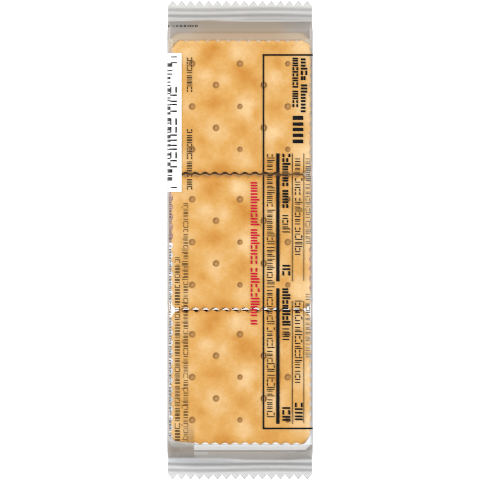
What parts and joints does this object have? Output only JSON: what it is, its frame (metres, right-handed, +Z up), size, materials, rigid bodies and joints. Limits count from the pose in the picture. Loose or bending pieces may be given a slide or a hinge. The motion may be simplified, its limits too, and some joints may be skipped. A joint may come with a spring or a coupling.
{
  "type": "sealed pack of sandwich crackers",
  "caption": "Long flat flow-wrap pack in clear printed film, with square golden sandwich crackers stacked in columns inside and a crimped zigzag seal at each end.",
  "frame": {"origin": "under the middle of the pack, on the surface that it lies on", "axes": "+X across the pack's width, +Y along its length towards the picture's top, +Z up out of the printed back face"},
  "size_m": [0.0422, 0.139, 0.019],
  "materials": {
    "wrapped_crackers": "gloss",
    "film": "gloss",
    "cracker": "matte",
    "filling": "satin",
    "print": "satin"
  },
  "bodies": {
    "root": {"cracker_pack": "wrapped_crackers"}
  },
  "joints": []
}
